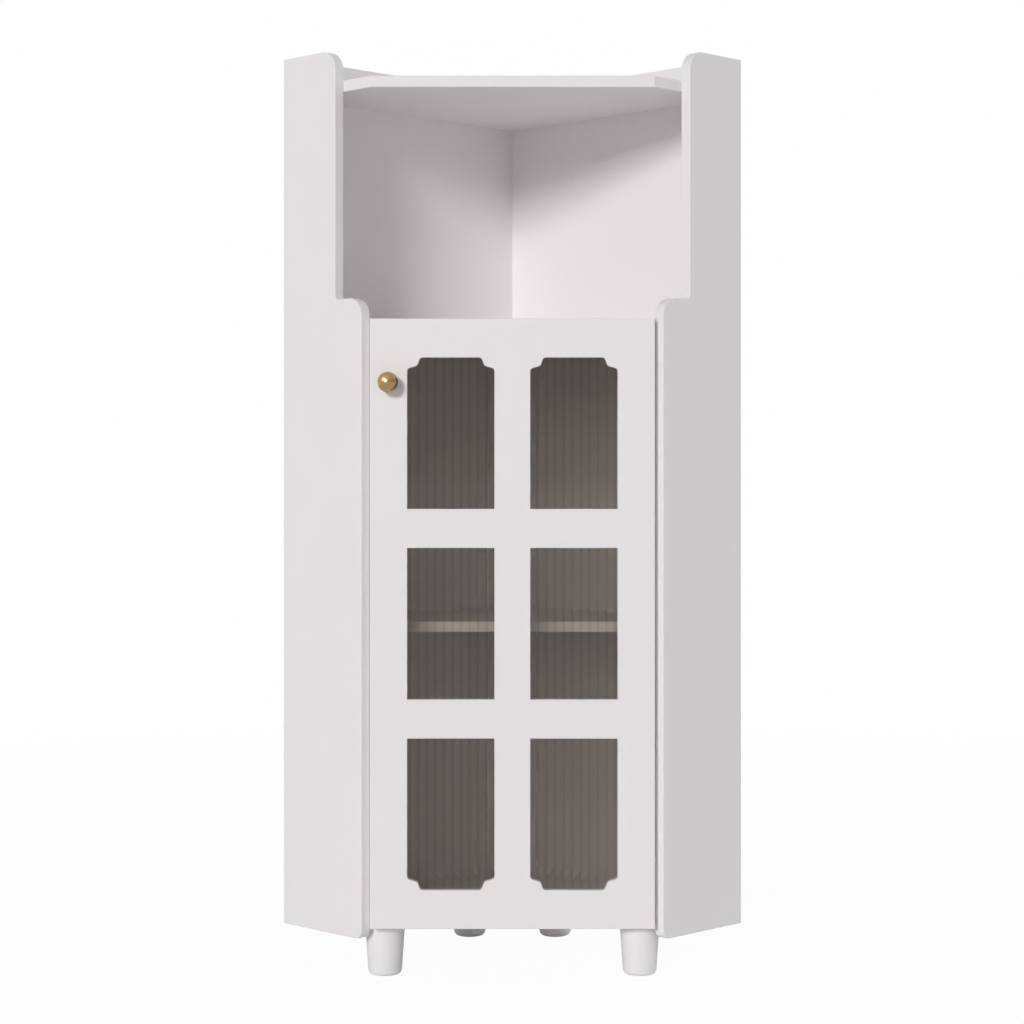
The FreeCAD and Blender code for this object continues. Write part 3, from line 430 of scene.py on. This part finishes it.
def rib_profile(low, high):
    """The front of the glass in plan: flat margins, and round ribs in pairs about its middle line."""
    ribs = 2 * (round((high.x - low.x) / (2 * RIB_PITCH)) - 1)
    radius = RIB_PITCH ** 2 / (8 * RIB_DEPTH) + RIB_DEPTH / 2
    start = (low.x + high.x - ribs * RIB_PITCH) / 2
    valley = low.y + RIB_DEPTH
    points = [(low.x, valley)]
    for step in range(ribs * RIB_STEPS + 1):
        across = (step / RIB_STEPS) % 1 - 0.5
        rise = math.sqrt(radius ** 2 - (across * RIB_PITCH) ** 2) - (radius - RIB_DEPTH)
        points.append((start + step / RIB_STEPS * RIB_PITCH, valley - rise))
    points.append((high.x, valley))
    return points


def make_glass():
    """The sheet behind the lights: its plan carried up from the bottom to the top, with smooth ribs."""
    low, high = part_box("fluted_glass")
    front = rib_profile(low, high)
    plan = front + [(high.x, high.y), (low.x, high.y)]
    sheet = bmesh.new()
    loft(sheet, [[(x, y, z) for x, y in plan] for z in (low.z, high.z)])
    sheet.faces.ensure_lookup_table()
    rib_faces = sheet.faces[1:len(front) - 2]
    for face in rib_faces:
        face.smooth = True
    for edge in sheet.edges:
        edge.smooth = all(face.smooth for face in edge.link_faces)
    mesh = to_mesh(sheet, "fluted_glass_sheet")
    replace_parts(add_piece("fluted_glass_sheet", mesh, "fluted_glass", "door"), "fluted_glass")


# Fixings and hardware

# Cross recesses: tip to tip, width of an arm, and depth
SMALL_CROSS = (4.2 * MM, 1.1 * MM, 1.2 * MM)
TINY_CROSS = (2.8 * MM, 0.75 * MM, 0.6 * MM)
SCREW_CROSS = (6.4 * MM, 1.5 * MM, 2.2 * MM)
CAM_CROSS = (9.5 * MM, 1.8 * MM, 2.0 * MM)

# Turned shapes: radius and height of each corner, from the top's rim down to the seat
PAN_HEAD = ((1.9 * MM, 1.6 * MM), (2.6 * MM, 1.3 * MM), (3 * MM, 0.6 * MM), (3 * MM, 0))
ARM_HEAD = ((2.9 * MM, 1.8 * MM), (3.3 * MM, 1.4 * MM), (3.4 * MM, 0))
SUNK_HEAD = ((2.4 * MM, -0.1 * MM), (1.3 * MM, -1.2 * MM))
COUNTERSINK = ((2.6 * MM, 0.1 * MM), (2.5 * MM, 0), (1.3 * MM, -1.3 * MM))
COVER_CAP = (
    (2 * MM, 1.5 * MM),
    (5 * MM, 1.35 * MM),
    (7.4 * MM, 1.05 * MM),
    (8.4 * MM, 0.6 * MM),
    (8.7 * MM, 0),
)

# Where the screws sit: a clip's part over the glass, half the way between the strike plate's two screws,
# the middle and thickness of the catch's ears, and the places along a hinge arm from its far end
CLIP_ON_GLASS = 5 * MM
STRIKE_REACH = 10 * MM
EAR_MIDDLE = 4 * MM
EAR_THICKNESS = 2 * MM
ARM_PLACES = (8 * MM, 27 * MM)

# Cam locks: their size, how much wider one may look that still stands upright, and how deep they lie
CAM_SIZE = 15 * MM
CAM_SLACK = 1.5 * MM
CAM_SINK = 0.3 * MM

# Softened edges of pressed metal and of moulded plastic
METAL_EDGE = 0.4 * MM
PLASTIC_EDGE = 0.3 * MM


def cam_facing(points):
    """Cams look up on the top board, down under the other boards, and inwards on the back panels."""
    low, high = box_of(points)
    if high.x - low.x > CAM_SIZE + CAM_SLACK:
        return -OUT_RIGHT if low.x > 0 else -OUT_LEFT
    return UP if low.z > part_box("top_board")[0].z else -UP


def clip_spots():
    """The seat of each glass clip's screw, in the part of the clip that lies on the frame."""
    low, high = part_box("fluted_glass")
    glass_middle = (low + high) / 2
    places = []
    for points in loose_parts("glass_clips"):
        place = seat(points, TO_BACK)
        first, last = box_of(points)
        # Upright clips hold the sides of the sheet, and the others its top and bottom
        along = 0 if last.z - first.z > last.x - first.x else 2
        shift = Vector()
        shift[along] = math.copysign(CLIP_ON_GLASS / 2, place.translation[along] - glass_middle[along])
        places.append(Matrix.Translation(shift) @ place)
    return places


def catch_spots():
    """The seats of the catch's two screws, under its ears."""
    low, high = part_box("magnet_catch_body")
    turn = (-UP).to_track_quat("Z", "Y").to_matrix().to_4x4()
    middle = (low.y + high.y) / 2
    level = high.z - EAR_THICKNESS
    ears = (low.x + EAR_MIDDLE, high.x - EAR_MIDDLE)
    return [Matrix.Translation((x, middle, level)) @ turn for x in ears]


def strike_spots():
    """The seats of the strike plate's two screws, to both sides of its middle."""
    place = seat(loose_parts("strike_plate")[0], TO_BACK)
    return [Matrix.Translation((side * STRIKE_REACH, 0, 0)) @ place for side in (-1, 1)]


def arm_spots():
    """The seats of the two screws on each hinge arm, measured from the arm's far end."""
    places = []
    for node in ("upper_hinge_arm", "lower_hinge_arm"):
        points = loose_parts(node)[0]
        place = seat(points, OUT_LEFT)
        far = max((point - place.translation).dot(OUT_RIGHT) for point in points)
        places += [Matrix.Translation((far - spot) * OUT_RIGHT) @ place for spot in ARM_PLACES]
    return places


def make_screws():
    """Cross recesses in the CAD screws and cams, and the small screws that only the scene has."""
    cross_heads("hinge_plate_screws", lambda points: OUT_LEFT, SMALL_CROSS)
    cross_heads("hinge_cup_screws", lambda points: TO_BACK, SMALL_CROSS)
    cross_heads("knob_screw", lambda points: TO_BACK, SMALL_CROSS)
    cross_heads("back_corner_screws", lambda points: OUT_RIGHT, SCREW_CROSS)
    cross_heads("cam_locks", cam_facing, CAM_CROSS)
    add_screws("clip_screws", clip_spots(), PAN_HEAD, SMALL_CROSS, "nickel_steel", "door")
    add_screws("catch_screws", catch_spots(), PAN_HEAD, SMALL_CROSS, "zinc_metal", "cabinet")
    add_screws("strike_screws", strike_spots(), SUNK_HEAD, TINY_CROSS, "zinc_metal", "door")
    add_screws("hinge_arm_screws", arm_spots(), ARM_HEAD, SMALL_CROSS, "nickel_steel", "cabinet")


def make_hardware():
    """The strike plate with its countersinks, and softened hinges, clips and catch."""
    sinks = bmesh.new()
    for place in strike_spots():
        add_turned(sinks, place, COUNTERSINK)
    stand_in("strike_plate", carved("strike_plate", welded("strike_plate"), sinks))
    for node in ("upper_hinge_arm", "lower_hinge_arm", "upper_hinge_plate", "lower_hinge_plate"):
        soften(node, METAL_EDGE)
    for node in ("glass_clips", "magnet_catch_body"):
        soften(node, PLASTIC_EDGE)


def make_cover_caps():
    """Thin caps over the cams that show, on the top board and the back panels."""
    caps = bmesh.new()
    for points in loose_parts("cam_locks"):
        facing = cam_facing(points)
        if facing != -UP:
            add_turned(caps, Matrix.Translation(CAM_SINK * facing) @ seat(points, facing), COVER_CAP)
    add_piece("cam_cover_caps", rounded(to_mesh(caps, "cam_cover_caps")), "white_plastic", "cabinet")


# Camera

# The photograph in pixels: its width, its focal length, its middle line and its horizon
PHOTO_SIZE = 1024
PHOTO_FOCUS = 2298
PHOTO_MIDDLE_X = 512.4
PHOTO_HORIZON_Y = 474.6

# The camera: the width of its sensor in millimetres, and its place
SENSOR = 36
CAMERA_PLACE = (0, -3.1359, 0.6485)


def make_camera():
    """The photograph's view: level, straight on, with its horizon a little above the middle."""
    lens = bpy.data.cameras.new("camera")
    lens.sensor_width = SENSOR
    lens.lens = SENSOR * PHOTO_FOCUS / PHOTO_SIZE
    lens.shift_x = (PHOTO_SIZE / 2 - PHOTO_MIDDLE_X) / PHOTO_SIZE
    lens.shift_y = (PHOTO_HORIZON_Y - PHOTO_SIZE / 2) / PHOTO_SIZE
    camera = bpy.data.objects.new("camera", lens)
    camera.location = CAMERA_PLACE
    camera.rotation_euler.x = math.radians(90)
    scene.collection.objects.link(camera)
    scene.camera = camera


# Studio

WHITE = (1, 0.997, 1, 1)
LIGHT_COLOUR = (1, 0.979, 0.983)
FILL = 0.185

# Metal and glass see white behind the cabinet, as a ray's way or a place on the floor passes this span in Y
BACKDROP_SPAN = (0.2, 0.9)

# In front they see a room: the way to its light side, the span along it, and its shares of white at the
# dark end and the light end. The floor in front shows them none
ROOM_LIGHT_WAY = Vector((-0.55, 0, 0.83))
ROOM_SPAN = (-0.5, 0.7)
ROOM_SHARES = (0.08, 0.5)
NO_ROOM = (0, 0)

# The floor: its size and colour, its share of plain white at the cabinet, and how far out that is full
FLOOR_SIZE = 400
FLOOR_COLOUR = (0.96, 0.96, 0.96, 1)
NEAR_SHARE = 0.96
SHADOW_REACH = 3.0

# Each lamp: the way its light travels, the angle that it fills in degrees, and its strength
LAMPS = {
    "key": (Vector((0.44, 1, -0.345)), 14.5, 1.622),
    "right_fill": (Vector((-1, -0.08, -0.2)), 60, 0.925),
    "left_fill": (Vector((1, -0.08, -0.2)), 60, 0.25),
    "back_fill": (Vector((-0.3, -1, -0.22)), 60, 0.8),
}

# The softbox, seen from the knob
SOFTBOX_WAY = Vector((-0.7, -0.5, 0.5))
SOFTBOX_DISTANCE = 2.0
SOFTBOX_SIZE = 1.45
SOFTBOX_POWER = 6.4


def backdrop_share(tree, coordinate, room_shares):
    """1 towards the backdrop behind, and in front the room's shares, from its dark end to its light end."""
    toward = tree.add("TexCoord").outputs[coordinate]
    to_light = tree.add("VectorMath", {0: toward, 1: ROOM_LIGHT_WAY}, operation="DOT_PRODUCT")
    room = tree.spread(to_light.outputs["Value"], *room_shares, span=ROOM_SPAN)
    to_back = tree.add("SeparateXYZ", {"Vector": toward}).outputs["Y"]
    return tree.spread(to_back, room, 1, span=BACKDROP_SPAN, interpolation_type="SMOOTHSTEP")


def seen_directly(tree, mirrored):
    """1 for rays from the camera, and the mirrored share for rays in metal and through glass."""
    path = tree.add("LightPath").outputs
    bent = tree.maths("MAXIMUM", path["Is Glossy Ray"], path["Is Transmission Ray"])
    return tree.maths("MAXIMUM", path["Is Camera Ray"], tree.maths("MULTIPLY", bent, mirrored))


def make_world():
    """White behind the cabinet, and an even, softer fill on it."""
    world = bpy.data.worlds.new("studio")
    world.use_nodes = True
    scene.world = world
    fill = world.node_tree.nodes["Background"]
    fill.inputs["Color"].default_value = LIGHT_COLOUR + (1,)
    fill.inputs["Strength"].default_value = FILL
    tree = NodeTree(world.node_tree, "World Output")
    white = tree.add("Background", {"Color": WHITE})
    tree.show(seen_directly(tree, backdrop_share(tree, "Generated", ROOM_SHARES)), fill, white)


def make_floor():
    """A pale floor, white to the eye, with a faint shadow round the cabinet that ends further out."""
    paint = Paint("floor")
    paint.set(Base_Color=FLOOR_COLOUR, Roughness=0.8)
    white = paint.add("Emission", {"Color": WHITE})
    position = paint.add("TexCoord").outputs["Object"]
    distance = paint.add("VectorMath", {0: position}, operation="LENGTH")
    share = paint.spread(distance.outputs["Value"], NEAR_SHARE, 1, span=(0, SHADOW_REACH))
    seen = seen_directly(paint, backdrop_share(paint, "Object", NO_ROOM))
    paint.show(paint.maths("MULTIPLY", seen, share), paint.shader, white)
    half = FLOOR_SIZE / 2
    outline = [(-half, -half, 0), (half, -half, 0), (half, half, 0), (-half, half, 0)]
    mesh = bpy.data.meshes.new("floor")
    mesh.from_pydata(outline, [], [(0, 1, 2, 3)])
    mesh.materials.append(paint.material)
    floor = bpy.data.objects.new("floor", mesh)
    scene.collection.objects.link(floor)


def make_lamps():
    """A soft key from the front, a little left and above, and wide fills that metal doesn't mirror."""
    for name, (travel, angle, strength) in LAMPS.items():
        light = bpy.data.lights.new(name, "SUN")
        light.angle = math.radians(angle)
        light.energy = strength
        light.color = LIGHT_COLOUR
        lamp = bpy.data.objects.new(name, light)
        lamp.rotation_euler = travel.to_track_quat("-Z", "Y").to_euler()
        lamp.visible_glossy = name == "key"
        scene.collection.objects.link(lamp)


def make_softbox():
    """A broad light up on the left that only shows as a reflection, most of all in the knob."""
    light = bpy.data.lights.new("softbox", "AREA")
    light.shape = "DISK"
    light.size = SOFTBOX_SIZE
    light.energy = SOFTBOX_POWER
    light.color = LIGHT_COLOUR
    low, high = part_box("knob")
    lamp = bpy.data.objects.new("softbox", light)
    lamp.location = (low + high) / 2 + SOFTBOX_DISTANCE * SOFTBOX_WAY
    lamp.rotation_euler = SOFTBOX_WAY.to_track_quat("Z", "Y").to_euler()
    lamp.visible_camera = False
    lamp.visible_diffuse = False
    lamp.visible_transmission = False
    scene.collection.objects.link(lamp)


dress_nodes()
make_glass()
make_screws()
make_hardware()
make_cover_caps()
make_camera()
make_world()
make_floor()
make_lamps()
make_softbox()
scene.view_settings.view_transform = "Standard"
